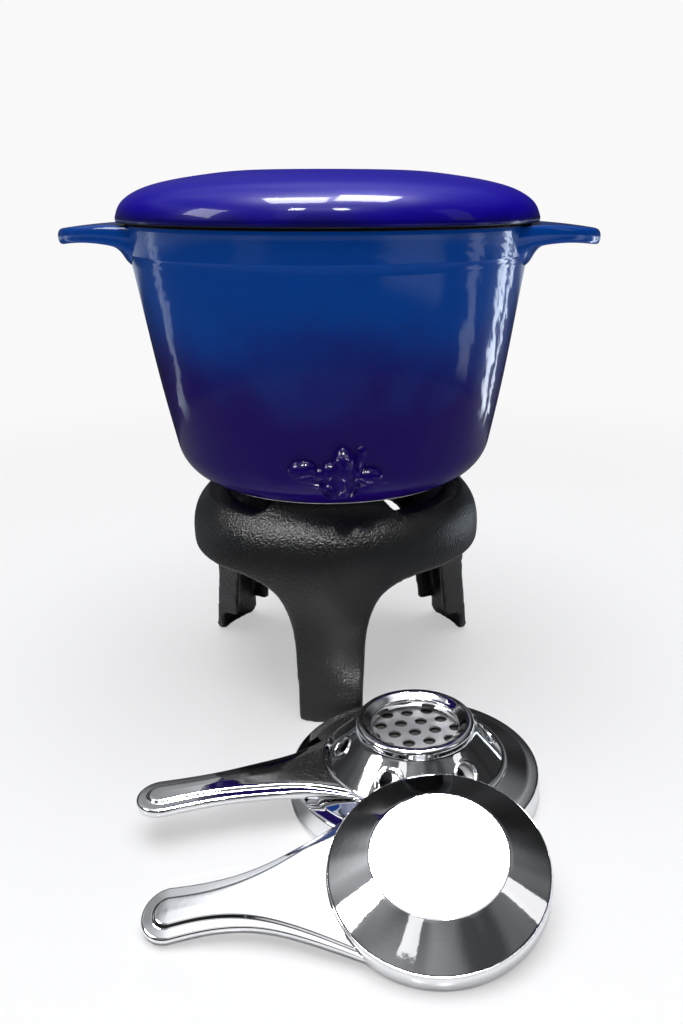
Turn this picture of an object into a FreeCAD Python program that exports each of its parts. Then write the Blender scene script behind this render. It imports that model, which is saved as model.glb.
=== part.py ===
import FreeCAD
import Part
import math
import os

from FreeCAD import Vector

# Fondue pot set: cast stand, enamelled pot with lid, spirit burner with a
# turning air regulator, and the snuffer cap leaning on the burner.
# Millimetres and degrees.  The origin is on the table under the middle of the
# stand, +Z is up and -Y is the front.

UP = Vector(0, 0, 1)
ORIGIN = Vector(0, 0, 0)

# ---- driving dimensions: stand -------------------------------------------
LEG_COUNT = 3
STAND_TURN = 0.0             # front leg's swing away from straight ahead
FOOT_RADIUS = 82.5
WAIST_RADIUS = 77.2
RING_RADIUS = 79.8
SEAT_HEIGHT = 114.0          # top of the three lugs, where the pot stands
SEAT_RADIUS = 62.4
STAND_WALL = 5.0
LEG_HALF_WIDTH = 16.5
FOOT_CORNER = 3.0
ARCH_HEIGHT = 75.5           # underside of the ring between the legs
FLANGE_DEPTH = 10.0
FLANGE_THICK = 4.0
FLANGE_FLOOR_GAP = 12.0
NOTCH_HALF_WIDTH = 35.0
NOTCH_FLOOR = 105.5

# ---- driving dimensions: pot and lid -------------------------------------
POT_BASE_RADIUS = 61.0
POT_CORNER = 24.0
POT_WALL = 4.0
POT_FLOOR = 5.0
POT_BULGE_RADIUS = 90.7      # the wall is a touch fuller below this height
POT_BULGE_HEIGHT = 165.0
POT_BAND_RADIUS = 100.8
POT_BAND_HEIGHT = 229.3      # where the slightly thicker rim band starts
POT_RIM_HEIGHT = 245.0
POT_RIM_RADIUS = 102.3
WING_TIP = 138.0
WING_HALF_WIDTH = 45.0
LID_RADIUS = 106.4
LID_TOP = 269.4
LID_DISH = 1.0
LID_WALL = 3.5
LID_SKIRT_DEPTH = 8.0
LID_SKIRT_RADIUS = 96.6
LID_SKIRT_THICK = 3.2
VENT_RADIUS = 2.0
VENT_OFFSET = 46.0

# ---- driving dimensions: burner and regulator ----------------------------
BURNER_X = 42.0
BURNER_Y = -135.2
BURNER_RADIUS = 57.0
BURNER_SKIRT = 12.4
BURNER_SHEET = 1.0
FLANGE_INNER = 51.0
SEAT_CONE_RADIUS = 42.0
SEAT_CONE_HEIGHT = 16.2
CONE_RADIUS = 40.0
CONE_TOP_RADIUS = 27.0
CONE_TOP_HEIGHT = 31.0
MOUTH_HEIGHT = 36.0
MOUTH_RADIUS = 19.5
REGULATOR_SHEET = 1.0
AIR_HOLE_COUNT = 6
AIR_HOLE_RADIUS = 4.4
AIR_HOLE_HEIGHT = 24.5
AIR_HOLE_PHASE = 250.0
AIR_HALF_OPEN = 7.0          # how far the two rings of air holes stand apart
SCREEN_HEIGHT = 28.0
SCREEN_THICK = 0.8
SCREEN_HOLE_RADIUS = 2.85
SCREEN_PITCH = 9.4
CUP_RADIUS = 23.6
CUP_SHEET = 0.8
CUP_FLOOR = 3.0
REGULATOR_AZIMUTH = 196.5
REGULATOR_REACH = 123.0

# ---- driving dimensions: snuffer -----------------------------------------
SNUFFER_RADIUS = 43.0
SNUFFER_SKIRT = 8.0
SNUFFER_HEIGHT = 16.5
SNUFFER_DISC = 26.2
SNUFFER_SHEET = 1.2
SNUFFER_X = 49.5
SNUFFER_Y = -209.8
SNUFFER_TILT = 17.0          # leans back on the burner
SNUFFER_TILT_AZIMUTH = -94.0
SNUFFER_HANDLE_TURN = 191.5
SNUFFER_REACH = 112.0

# ---- driving dimensions: pressed handles ---------------------------------
HANDLE_HALF_WIDTH = 10.6
HANDLE_EDGE = 3.4            # depth of the turned-down edge
HANDLE_SHEET = 1.2
PANEL_INSET = 5.2
PANEL_RISE = 0.9


# ---- shared shapes -------------------------------------------------------
def spline(points):
    """A smooth edge through the given (radius, height) points of a profile."""
    curve = Part.BSplineCurve()
    curve.interpolate([Vector(r, 0, z) for r, z in points])
    return curve.toShape()


def path(points):
    """Straight edges joining the given (radius, height) points."""
    vectors = [Vector(r, 0, z) for r, z in points]
    return [Part.LineSegment(a, b).toShape() for a, b in zip(vectors, vectors[1:])]


def face_of(edges):
    """A flat face from edges that close on each other."""
    return Part.Face(Part.Wire(Part.__sortEdges__(edges)))


def turned(edges):
    """A solid of revolution about +Z from a closed profile in the XZ plane."""
    return face_of(edges).revolve(ORIGIN, UP, 360)


def turned_sector(edges, angle):
    """Part of a solid of revolution, spread evenly to both sides of +X."""
    face = face_of(edges)
    face.rotate(ORIGIN, UP, -angle / 2.0)
    return face.revolve(ORIGIN, UP, angle)


def turned_points(points):
    """A solid of revolution from a closed chain of straight profile edges."""
    return turned(path(points + [points[0]]))


def disc(radius, z_low, z_high):
    """A plain upright cylinder."""
    return Part.makeCylinder(radius, z_high - z_low, Vector(0, 0, z_low))


def around(shape, count, first_azimuth):
    """Copies of a shape that points along +X, spread evenly about +Z."""
    copies = []
    for i in range(count):
        copy = shape.copy()
        copy.rotate(ORIGIN, UP, first_azimuth + i * 360.0 / count)
        copies.append(copy)
    return copies


def rounded_corner(corner, before, after, radius):
    """Arc that rounds one corner of an outline: start, arc edge and end."""
    to_before = (before - corner).normalize()
    to_after = (after - corner).normalize()
    half_angle = to_before.getAngle(to_after) / 2
    reach = radius / math.tan(half_angle)
    start = corner + to_before * reach
    end = corner + to_after * reach
    bisector = (to_before + to_after).normalize()
    middle = corner + bisector * (radius / math.sin(half_angle) - radius)
    return start, Part.Arc(start, middle, end).toShape(), end


def save(shape, name):
    """Write one node's STEP file."""
    shape.exportStep("parts/" + name + ".step")


# ---- stand ---------------------------------------------------------------
def stand_outer_profile():
    """Outside of the stand from the floor to the top of a lug."""
    return spline([
        (FOOT_RADIUS, 0), (79.6, 28), (WAIST_RADIUS, 58), (RING_RADIUS, 83),
        (76.6, 98), (68.6, 107.4), (SEAT_RADIUS, SEAT_HEIGHT)])


def stand_inner_profile(extra=0.0):
    """Inside of the stand's wall, or a line further in by extra."""
    inset = STAND_WALL + extra
    return spline([
        (FOOT_RADIUS - inset, 0), (79.6 - inset, 28), (WAIST_RADIUS - inset, 58),
        (RING_RADIUS - inset, 83), (76.6 - inset - 1.5, 95),
        (66.0 - inset, 103.5), (SEAT_RADIUS - 6.0 - extra, SEAT_HEIGHT)])


def wall_sector(outer, inner):
    """One leg's share of the wall between two profiles from floor to seat."""
    low = Part.LineSegment(inner.Vertexes[0].Point, outer.Vertexes[0].Point)
    high = Part.LineSegment(outer.Vertexes[-1].Point, inner.Vertexes[-1].Point)
    return turned_sector([low.toShape(), outer, high.toShape(), inner], 360.0 / LEG_COUNT)


def leg_outline(inset, bottom, corner):
    """Front view of one leg and the half arches beside it, seen along +X.

    The sides rise almost straight and then sweep out into the ring.
    inset moves the whole outline into the metal."""
    foot = LEG_HALF_WIDTH - inset
    reach = RING_RADIUS
    top = SEAT_HEIGHT + 10
    arch = ARCH_HEIGHT + inset
    sweep = [(foot, 18), (18.0 - inset, 42), (21.4 - 0.95 * inset, 58),
             (28.0 - 0.7 * inset, 69 + 0.6 * inset), (38.0 - 0.3 * inset, arch - 1.1),
             (50.0, arch)]
    edges = []
    for side in (1, -1):
        curve = Part.BSplineCurve()
        curve.interpolate([Vector(0, side * u, z) for u, z in sweep])
        edges.append(curve.toShape())
        lip = [Vector(0, side * 50.0, arch), Vector(0, side * reach, arch),
               Vector(0, side * reach, top)]
        for a, b in zip(lip, lip[1:]):
            edges.append(Part.LineSegment(a, b).toShape())
        knee = Vector(0, side * foot, 18)
        heel = Vector(0, side * foot, bottom)
        middle = Vector(0, 0, bottom)
        start, arc, end = rounded_corner(heel, knee, middle, corner)
        edges.append(Part.LineSegment(knee, start).toShape())
        edges.append(arc)
        edges.append(Part.LineSegment(end, middle).toShape())
    edges.append(Part.LineSegment(Vector(0, reach, top), Vector(0, -reach, top)).toShape())
    return face_of(edges)


def leg_prism(inset, bottom, corner):
    """A leg's outline carried outward through the stand's wall along +X."""
    prism = leg_outline(inset, bottom, corner).extrude(Vector(90, 0, 0))
    prism.translate(Vector(30, 0, 0))
    return prism


def notch_tool():
    """Air gap in the top edge, midway between two legs, cut along +X."""
    low = NOTCH_FLOOR
    high = SEAT_HEIGHT + 5
    w = NOTCH_HALF_WIDTH
    corners = [Vector(0, w, high), Vector(0, w - 1, low), Vector(0, -w + 1, low),
               Vector(0, -w, high)]
    s1, a1, e1 = rounded_corner(corners[1], corners[0], corners[2], 5)
    s2, a2, e2 = rounded_corner(corners[2], corners[1], corners[3], 5)
    edges = [Part.LineSegment(corners[0], s1).toShape(), a1,
             Part.LineSegment(e1, s2).toShape(), a2,
             Part.LineSegment(e2, corners[3]).toShape(),
             Part.LineSegment(corners[3], corners[0]).toShape()]
    return face_of(edges).extrude(Vector(100, 0, 0))


def make_leg_sector():
    """A third of the stand: a leg with its flanges, and the ring above it."""
    outline = leg_prism(0, 0, FOOT_CORNER)
    wall = wall_sector(stand_outer_profile(), stand_inner_profile()).common(outline)
    deep = wall_sector(stand_inner_profile(-1.0), stand_inner_profile(FLANGE_DEPTH))
    flanges = deep.common(disc(120, FLANGE_FLOOR_GAP, ARCH_HEIGHT + FLANGE_THICK))
    flanges = flanges.common(outline).cut(leg_prism(FLANGE_THICK, -20, FOOT_CORNER))
    sector = wall.fuse(flanges)
    for side in (-1, 1):
        tool = notch_tool()
        tool.rotate(ORIGIN, UP, side * 180.0 / LEG_COUNT)
        sector = sector.cut(tool)
    return sector


def make_stand():
    """Cast stand: one bell-shaped wall with three arches and three notches."""
    sectors = around(make_leg_sector(), LEG_COUNT, -90 + STAND_TURN)
    return sectors[0].multiFuse(sectors[1:]).removeSplitter()


# ---- pot -----------------------------------------------------------------
def pot_outer_edges():
    """Outside of the pot from the middle of the base to the rim."""
    slope = math.atan2(POT_BULGE_RADIUS - 85.0, POT_BULGE_HEIGHT - 134.0)
    centre = Vector(POT_BASE_RADIUS, 0, SEAT_HEIGHT + POT_CORNER)
    start = centre + Vector(0, 0, -POT_CORNER)
    mid_angle = (-math.pi / 2 - slope) / 2
    middle = centre + Vector(math.cos(mid_angle), 0, math.sin(mid_angle)) * POT_CORNER
    end = centre + Vector(math.cos(-slope), 0, math.sin(-slope)) * POT_CORNER
    corner = Part.Arc(start, middle, end).toShape()
    wall = path([(end.x, end.z), (POT_BULGE_RADIUS, POT_BULGE_HEIGHT),
                 (POT_BAND_RADIUS, POT_BAND_HEIGHT)])
    band = path([(POT_BAND_RADIUS, POT_BAND_HEIGHT),
                 (POT_BAND_RADIUS + 0.9, POT_BAND_HEIGHT + 1.2),
                 (POT_RIM_RADIUS, POT_RIM_HEIGHT - 2), (POT_RIM_RADIUS, POT_RIM_HEIGHT)])
    base = path([(0, SEAT_HEIGHT), (POT_BASE_RADIUS, SEAT_HEIGHT)])
    return base + [corner] + wall + band


def pot_inner_edges():
    """Inside of the pot from the rim down to the middle of its floor."""
    low = SEAT_HEIGHT + POT_FLOOR
    corner = POT_CORNER - 4
    rim = POT_RIM_RADIUS - POT_WALL
    centre = Vector(POT_BASE_RADIUS, 0, low + corner)
    foot = Vector(POT_BASE_RADIUS, 0, low)
    middle = centre + Vector(math.cos(-0.87), 0, math.sin(-0.87)) * corner
    wall_foot = centre + Vector(math.cos(-0.16), 0, math.sin(-0.16)) * corner
    arc = Part.Arc(foot, middle, wall_foot).toShape()
    wall = path([(wall_foot.x, wall_foot.z), (POT_BULGE_RADIUS - POT_WALL, POT_BULGE_HEIGHT),
                 (POT_BAND_RADIUS - POT_WALL, POT_BAND_HEIGHT), (rim, POT_RIM_HEIGHT)])
    floor = path([(0, low), (POT_BASE_RADIUS, low)])
    return wall + [arc] + floor


def wing_plan():
    """Crescent outline of the wing handle on the +X side, as a tall prism."""
    half = WING_HALF_WIDTH
    root = 84.0
    sweep = [(root, half + 4), (104, half - 5), (120, half - 17), (131.5, half - 31)]
    upper = [Vector(x, y, 0) for x, y in sweep]
    lower = [Vector(x, -y, 0) for x, y in reversed(sweep)]
    outline = Part.BSplineCurve()
    outline.interpolate(upper + [Vector(WING_TIP, 0, 0)] + lower)
    back = Part.LineSegment(Vector(root, -half - 4, 0), Vector(root, half + 4, 0))
    face = face_of([outline.toShape(), back.toShape()])
    prism = face.extrude(Vector(0, 0, 60))
    prism.translate(Vector(0, 0, 200))
    return prism


def make_wing():
    """One wing handle on the +X side, cast with the pot.

    Its section is turned about the pot's axis, so the hollow curve under it
    follows the round wall."""
    tip = WING_TIP + 4
    rim = POT_RIM_HEIGHT
    top = spline([(96, rim - 1.2), (108, rim - 0.7), (122, rim - 1.4), (tip, rim - 4.2)])
    under = spline([(96, rim - 23), (101.5, rim - 19.6), (106, rim - 12.4), (114, rim - 8.9),
                    (126, rim - 8.4), (tip, rim - 11.2)])
    closing = path([(tip, rim - 4.2), (tip, rim - 11.2)]) + path([(96, rim - 23), (96, rim - 1.2)])
    wing = turned_sector([top, under] + closing, 80).common(wing_plan())
    return wing.makeFillet(2.4, free_wing_edges(wing))


def free_wing_edges(wing):
    """The long edges round the wing's free outline, above and below."""
    chosen = []
    for edge in wing.Edges:
        box = edge.BoundBox
        on_outline = box.XMax > 108 and box.YLength > 8
        buried = box.XMax - box.XMin < 1.0 and box.XMax < 110
        if on_outline and not buried:
            chosen.append(edge)
    return chosen


def make_pot():
    """Enamelled cast pot: tapering bowl, rim band and two wing handles."""
    rim = path([(POT_RIM_RADIUS, POT_RIM_HEIGHT), (POT_RIM_RADIUS - POT_WALL, POT_RIM_HEIGHT)])
    axis = path([(0, SEAT_HEIGHT), (0, SEAT_HEIGHT + POT_FLOOR)])
    bowl = turned(pot_outer_edges() + rim + pot_inner_edges() + axis)
    inside = turned(pot_inner_edges() + path([(0, SEAT_HEIGHT + POT_FLOOR),
                                              (0, POT_RIM_HEIGHT + 10),
                                              (POT_RIM_RADIUS - POT_WALL, POT_RIM_HEIGHT + 10),
                                              (POT_RIM_RADIUS - POT_WALL, POT_RIM_HEIGHT)]))
    right = make_wing()
    left = right.mirror(ORIGIN, Vector(1, 0, 0))
    return bowl.fuse([right, left]).cut(inside).removeSplitter()


# ---- lid -----------------------------------------------------------------
def make_lid():
    """Domed lid with a shallow dish on top, a locating skirt and a steam vent."""
    low = POT_RIM_HEIGHT
    dome = Part.BSplineCurve()
    dome.interpolate([Vector(LID_RADIUS, 0, low + 2.4), Vector(104.2, 0, low + 7.9),
                      Vector(98.4, 0, low + 13.1), Vector(85.2, 0, low + 18.2),
                      Vector(65, 0, low + 21.9), Vector(44.4, 0, LID_TOP - 0.3)])
    dish = spline([(44.4, LID_TOP - 0.3), (34, LID_TOP), (16, LID_TOP - 0.6 * LID_DISH),
                   (0, LID_TOP - LID_DISH)])
    edge = path([(LID_RADIUS - 1.2, low), (LID_RADIUS - 0.3, low + 0.8),
                 (LID_RADIUS, low + 2.4)])
    skirt_in = LID_SKIRT_RADIUS - LID_SKIRT_THICK
    under = path([(LID_RADIUS - 1.2, low), (LID_SKIRT_RADIUS, low),
                  (LID_SKIRT_RADIUS - 0.4, low - LID_SKIRT_DEPTH),
                  (skirt_in, low - LID_SKIRT_DEPTH), (skirt_in, low + 9.0)])
    inner = path([(skirt_in, low + 9.0), (80, low + 15.0), (60, low + 18.8),
                  (35, LID_TOP - LID_WALL), (0, LID_TOP - LID_DISH - LID_WALL)])
    axis = path([(0, LID_TOP - LID_DISH - LID_WALL), (0, LID_TOP - LID_DISH)])
    lid = turned([dome.toShape(), dish] + edge + under + inner + axis)
    vent = disc(VENT_RADIUS, low, LID_TOP + 5)
    vent.translate(Vector(-VENT_OFFSET, 0, 0))
    return lid.cut(vent)


# ---- burner --------------------------------------------------------------
def at_burner(shape):
    """Moves a shape made about the Z axis to the burner's place."""
    shape.translate(Vector(BURNER_X, BURNER_Y, 0))
    return shape


def make_burner_base():
    """Pressed hat-shaped base: rolled skirt, flat flange, cone and seat."""
    t = BURNER_SHEET
    outside = [(BURNER_RADIUS, 0), (BURNER_RADIUS - 0.6, BURNER_SKIRT - 1.0),
               (BURNER_RADIUS - 1.6, BURNER_SKIRT), (FLANGE_INNER, BURNER_SKIRT + 0.4),
               (SEAT_CONE_RADIUS, SEAT_CONE_HEIGHT - 0.6),
               (SEAT_CONE_RADIUS - 1.2, SEAT_CONE_HEIGHT), (CUP_RADIUS + 1, SEAT_CONE_HEIGHT)]
    inside = [(CUP_RADIUS + 1, SEAT_CONE_HEIGHT - t), (SEAT_CONE_RADIUS - 1.6,
                                                        SEAT_CONE_HEIGHT - t),
              (FLANGE_INNER - 0.2, BURNER_SKIRT + 0.4 - t),
              (BURNER_RADIUS - 2.0, BURNER_SKIRT - t), (BURNER_RADIUS - 1.2 - t, 0)]
    return at_burner(turned_points(outside + inside))


def make_fuel_cup():
    """Drawn cup that holds the fuel, hung in the base by its flange."""
    t = CUP_SHEET
    r = CUP_RADIUS
    top = SCREEN_HEIGHT
    return at_burner(turned_points([
        (0, CUP_FLOOR), (r - 2, CUP_FLOOR), (r, CUP_FLOOR + 2), (r, top),
        (r - t, top), (r - t, CUP_FLOOR + 2.4), (r - 2.4, CUP_FLOOR + t),
        (0, CUP_FLOOR + t)]))


def make_fuel_wool():
    """Absorbent pad that fills the cup up to the screen."""
    low = CUP_FLOOR + 2.6
    return at_burner(disc(CUP_RADIUS - CUP_SHEET - 0.4, low, SCREEN_HEIGHT - 1.2))


def make_burner_screen():
    """Perforated disc over the wool, with holes in a close-packed pattern."""
    screen = disc(CUP_RADIUS, SCREEN_HEIGHT, SCREEN_HEIGHT + SCREEN_THICK)
    holes = []
    rows = 2
    for row in range(-rows, rows + 1):
        for column in range(-rows, rows + 1):
            x = SCREEN_PITCH * (column + row / 2.0)
            y = SCREEN_PITCH * row * math.sqrt(3) / 2
            if math.hypot(x, y) < CUP_RADIUS - SCREEN_HOLE_RADIUS - 1:
                hole = disc(SCREEN_HOLE_RADIUS, SCREEN_HEIGHT - 1, SCREEN_HEIGHT + 2)
                hole.translate(Vector(x, y, 0))
                holes.append(hole)
    screen = screen.cut(holes[0].multiFuse(holes[1:]))
    screen.rotate(ORIGIN, UP, 12)
    return at_burner(screen)


def cone_slope_angle():
    """Angle between the regulator's cone and the vertical, in degrees."""
    rise = CONE_TOP_HEIGHT - SEAT_CONE_HEIGHT
    return math.degrees(math.atan2(CONE_RADIUS - CONE_TOP_RADIUS, rise))


def air_hole_tools(phase):
    """Round punches square to the cone, one for each air hole."""
    rise = (AIR_HOLE_HEIGHT - SEAT_CONE_HEIGHT) / (CONE_TOP_HEIGHT - SEAT_CONE_HEIGHT)
    radius = CONE_RADIUS + (CONE_TOP_RADIUS - CONE_RADIUS) * rise
    punch = Part.makeCylinder(AIR_HOLE_RADIUS, 10, Vector(0, 0, -5), Vector(0, 0, 1))
    punch.rotate(ORIGIN, Vector(0, 1, 0), 90 - cone_slope_angle())
    punch.translate(Vector(radius, 0, AIR_HOLE_HEIGHT))
    return around(punch, AIR_HOLE_COUNT, phase)


def make_air_collar():
    """Fixed inner cone with air holes, standing on the base."""
    gap = REGULATOR_SHEET + 0.5
    t = 0.8
    low = SEAT_CONE_HEIGHT
    shell = turned_points([
        (CONE_RADIUS - gap, low), (CONE_TOP_RADIUS - gap, CONE_TOP_HEIGHT - 1),
        (CUP_RADIUS + 0.2, CONE_TOP_HEIGHT - 1), (CUP_RADIUS + 0.2, CONE_TOP_HEIGHT - 1 - t),
        (CONE_TOP_RADIUS - gap - t, CONE_TOP_HEIGHT - 1 - t), (CONE_RADIUS - gap - 1.3 * t, low)])
    for tool in air_hole_tools(AIR_HOLE_PHASE - AIR_HALF_OPEN):
        shell = shell.cut(tool)
    return at_burner(shell)


def make_regulator_cone():
    """Outer cone that turns on the base: air holes, neck and rolled-in mouth."""
    t = REGULATOR_SHEET
    low = SEAT_CONE_HEIGHT + 0.15
    neck = CONE_TOP_RADIUS - 0.4
    outside = path([(CONE_RADIUS + 1.6, low), (CONE_RADIUS + 1.6, low + 0.9),
                    (CONE_RADIUS, low + 1.0), (CONE_TOP_RADIUS, CONE_TOP_HEIGHT),
                    (neck, MOUTH_HEIGHT - 2.2)])
    lip = path([(neck, MOUTH_HEIGHT - 2.2), (neck - 0.3, MOUTH_HEIGHT - 1.1),
                (neck - 1.2, MOUTH_HEIGHT - 0.3), (neck - 2.8, MOUTH_HEIGHT),
                (MOUTH_RADIUS + 1.2, MOUTH_HEIGHT - 1.6),
                (MOUTH_RADIUS + 0.3, MOUTH_HEIGHT - 2.1), (MOUTH_RADIUS, MOUTH_HEIGHT - 3.2)])
    under = path([(MOUTH_RADIUS, MOUTH_HEIGHT - 3.2), (MOUTH_RADIUS, MOUTH_HEIGHT - 5.6),
                  (MOUTH_RADIUS + t, MOUTH_HEIGHT - 5.6), (MOUTH_RADIUS + t, MOUTH_HEIGHT - 3.4),
                  (MOUTH_RADIUS + 2.0, MOUTH_HEIGHT - 2.6), (neck - 2.8, MOUTH_HEIGHT - t),
                  (neck - t, MOUTH_HEIGHT - 2.6), (CONE_TOP_RADIUS - 1.3 * t, CONE_TOP_HEIGHT),
                  (CONE_RADIUS - 1.2 * t, low), (CONE_RADIUS + 1.6, low)])
    cone = turned(outside + lip + under)
    for tool in air_hole_tools(AIR_HOLE_PHASE):
        cone = cone.cut(tool)
    return at_burner(cone)


# ---- pressed handles -----------------------------------------------------
def handle_plan(root_radius, root_half, reach, inset, start):
    """Plan outline of a pressed handle along +X.

    The sides flare from a narrow grip to a wide root that hugs a round rim,
    and the free end is a half circle."""
    half = HANDLE_HALF_WIDTH - inset
    grip_end = reach - HANDLE_HALF_WIDTH
    flare = [(start, root_half - inset), (root_radius + 10, 0.62 * root_half - inset * 0.9),
             (root_radius + 27, half + 1.6), (root_radius + 48, half - 0.6),
             (grip_end, half)]
    upper = Part.BSplineCurve()
    upper.interpolate([Vector(x, y, 0) for x, y in flare])
    lower = Part.BSplineCurve()
    lower.interpolate([Vector(x, -y, 0) for x, y in flare])
    nose = Part.Arc(Vector(grip_end, half, 0), Vector(grip_end + half, 0, 0),
                    Vector(grip_end, -half, 0))
    back = Part.LineSegment(Vector(start, -root_half + inset, 0),
                            Vector(start, root_half - inset, 0))
    face = face_of([upper.toShape(), nose.toShape(), lower.toShape(), back.toShape()])
    prism = face.extrude(Vector(0, 0, 120))
    prism.translate(Vector(0, 0, -60))
    return prism


def handle_band(rise_points, top_shift, bottom_shift):
    """Slab that follows the handle's side profile between two offsets."""
    top = Part.BSplineCurve()
    top.interpolate([Vector(x, -60, z + top_shift) for x, z in rise_points])
    low = Part.BSplineCurve()
    low.interpolate([Vector(x, -60, z + bottom_shift) for x, z in rise_points])
    high_edge = top.toShape()
    low_edge = low.toShape()
    ends = [Part.LineSegment(high_edge.Vertexes[i].Point, low_edge.Vertexes[i].Point).toShape()
            for i in (0, -1)]
    return face_of([high_edge, low_edge] + ends).extrude(Vector(0, 120, 0))


def make_handle(root_radius, root_half, reach, rise_points):
    """Pressed sheet handle: turned-down edges and a raised centre panel."""
    start = math.sqrt(root_radius ** 2 - root_half ** 2)
    plan = handle_plan(root_radius, root_half, reach, 0, start)
    body = plan.common(handle_band(rise_points, 0, -HANDLE_EDGE))
    hollow_plan = handle_plan(root_radius, root_half, reach, HANDLE_SHEET, start)
    hollow = hollow_plan.common(handle_band(rise_points, -HANDLE_SHEET, -30))
    panel_plan = handle_plan(root_radius, root_half * 0.8, reach, PANEL_INSET, start)
    panel_plan = panel_plan.cut(disc(root_radius + 4, -80, 80))
    panel = panel_plan.common(handle_band(rise_points, PANEL_RISE, -0.5 * HANDLE_SHEET))
    body = body.cut(hollow).fuse(panel)
    hug = disc(root_radius, -80, 80)
    return body.cut(hug).removeSplitter()


def make_regulator_handle():
    """Handle that turns the regulator, rising gently towards its end."""
    low = SEAT_CONE_HEIGHT + 0.15
    rise = [(20, low + 1.6), (44, low + 1.8), (70, low + 2.2), (100, low + 2.3),
            (REGULATOR_REACH + 5, low + 2.0)]
    handle = make_handle(CONE_RADIUS + 1.65, 25.0, REGULATOR_REACH, rise)
    clear_base = turned_points([(0, -1), (BURNER_RADIUS + 0.8, -1),
                                (BURNER_RADIUS + 0.8, BURNER_SKIRT + 0.8),
                                (FLANGE_INNER, BURNER_SKIRT + 1.4),
                                (SEAT_CONE_RADIUS + 0.6, low), (0, low)])
    handle = handle.cut(clear_base)
    handle.rotate(ORIGIN, UP, REGULATOR_AZIMUTH)
    return at_burner(handle)


# ---- snuffer -------------------------------------------------------------
def lean_snuffer(shape):
    """Takes a shape from the snuffer's own frame to where it leans."""
    azimuth = math.radians(SNUFFER_TILT_AZIMUTH)
    hinge = Vector(-math.sin(azimuth), math.cos(azimuth), 0)
    shape.rotate(ORIGIN, UP, SNUFFER_TILT_AZIMUTH + 90)
    shape.rotate(ORIGIN, hinge, SNUFFER_TILT)
    lift = SNUFFER_RADIUS * math.sin(math.radians(SNUFFER_TILT))
    shape.translate(Vector(SNUFFER_X, SNUFFER_Y, lift))
    return shape


def make_snuffer_cap():
    """Flat-topped cap that drops over the burner's mouth."""
    t = SNUFFER_SHEET
    r = SNUFFER_RADIUS
    cap = turned_points([
        (r, 0), (r - 0.2, SNUFFER_SKIRT - 0.9), (r - 1.1, SNUFFER_SKIRT + 0.2),
        (SNUFFER_DISC + 0.7, SNUFFER_HEIGHT - 0.4), (SNUFFER_DISC, SNUFFER_HEIGHT),
        (0, SNUFFER_HEIGHT), (0, SNUFFER_HEIGHT - t), (SNUFFER_DISC - 0.3, SNUFFER_HEIGHT - t),
        (r - 1.1 - t, SNUFFER_SKIRT - t + 0.2), (r - 0.2 - t, SNUFFER_SKIRT - 2.0),
        (r - t, 0)])
    return lean_snuffer(cap)


def make_snuffer_handle():
    """Handle welded to the snuffer's skirt."""
    rise = [(20, 3.9), (44, 4.0), (70, 3.6), (95, 1.7), (SNUFFER_REACH + 5, -0.8)]
    handle = make_handle(SNUFFER_RADIUS, 30.0, SNUFFER_REACH, rise)
    handle.rotate(ORIGIN, UP, SNUFFER_HANDLE_TURN)
    return lean_snuffer(handle)


def main():
    """Builds every piece and writes one STEP file for each."""
    os.makedirs("parts", exist_ok=True)
    pieces = {
        "stand": make_stand,
        "pot": make_pot,
        "lid": make_lid,
        "burner_base": make_burner_base,
        "fuel_cup": make_fuel_cup,
        "fuel_wool": make_fuel_wool,
        "burner_screen": make_burner_screen,
        "air_collar": make_air_collar,
        "regulator_cone": make_regulator_cone,
        "regulator_handle": make_regulator_handle,
        "snuffer_cap": make_snuffer_cap,
        "snuffer_handle": make_snuffer_handle,
    }
    for name, make in pieces.items():
        shape = make()
        print(name, len(shape.Solids), shape.isValid(), round(shape.Volume), shape.BoundBox)
        save(shape, name)


main()
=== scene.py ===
import math
from contextlib import contextmanager

import bmesh
import bpy
import numpy as np
from bpy.props import FloatProperty, FloatVectorProperty, IntProperty, PointerProperty
from mathutils import Matrix, Vector


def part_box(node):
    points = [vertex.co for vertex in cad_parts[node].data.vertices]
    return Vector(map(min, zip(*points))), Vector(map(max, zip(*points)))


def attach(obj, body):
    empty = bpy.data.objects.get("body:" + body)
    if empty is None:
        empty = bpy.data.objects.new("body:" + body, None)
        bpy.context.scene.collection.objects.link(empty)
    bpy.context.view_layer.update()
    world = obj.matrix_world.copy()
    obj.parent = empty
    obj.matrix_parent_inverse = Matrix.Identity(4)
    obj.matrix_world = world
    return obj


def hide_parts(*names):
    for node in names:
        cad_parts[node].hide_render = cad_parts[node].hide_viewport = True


bl_info = {
    "name": "Fondue pot set",
    "version": (1, 0, 0),
    "blender": (4, 5, 0),
    "location": "View3D > Sidebar > Fondue",
    "description": "Finished surfaces of a fondue pot set with stand and spirit burner",
    "category": "Add Mesh",
}

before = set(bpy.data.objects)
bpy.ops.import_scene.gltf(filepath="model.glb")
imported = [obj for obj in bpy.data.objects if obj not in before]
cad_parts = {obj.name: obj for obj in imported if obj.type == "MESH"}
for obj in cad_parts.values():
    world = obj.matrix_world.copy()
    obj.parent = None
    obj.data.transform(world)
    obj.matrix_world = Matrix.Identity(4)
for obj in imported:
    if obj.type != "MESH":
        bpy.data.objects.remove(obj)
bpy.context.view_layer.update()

MM = 0.001
QUARTER = math.pi / 2
RIM_BAND = 15.7 * MM        # height of the upright band under the pot's rim
RIM_LIP = 2 * MM            # where the rim's top passes from outside to inside
WALL_LEAN = math.radians(-10.4)   # tilt of the wall's face where it leaves the corner
RELIEF_TURN = math.radians(-85)   # azimuth of the cow's head
BAND_RADIUS = 100.8 * MM    # where the pot's wall meets the rim band
INNER_BAND_RADIUS = 96.8 * MM
DOME_POINTS = 96            # points on the lid's dome
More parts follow.
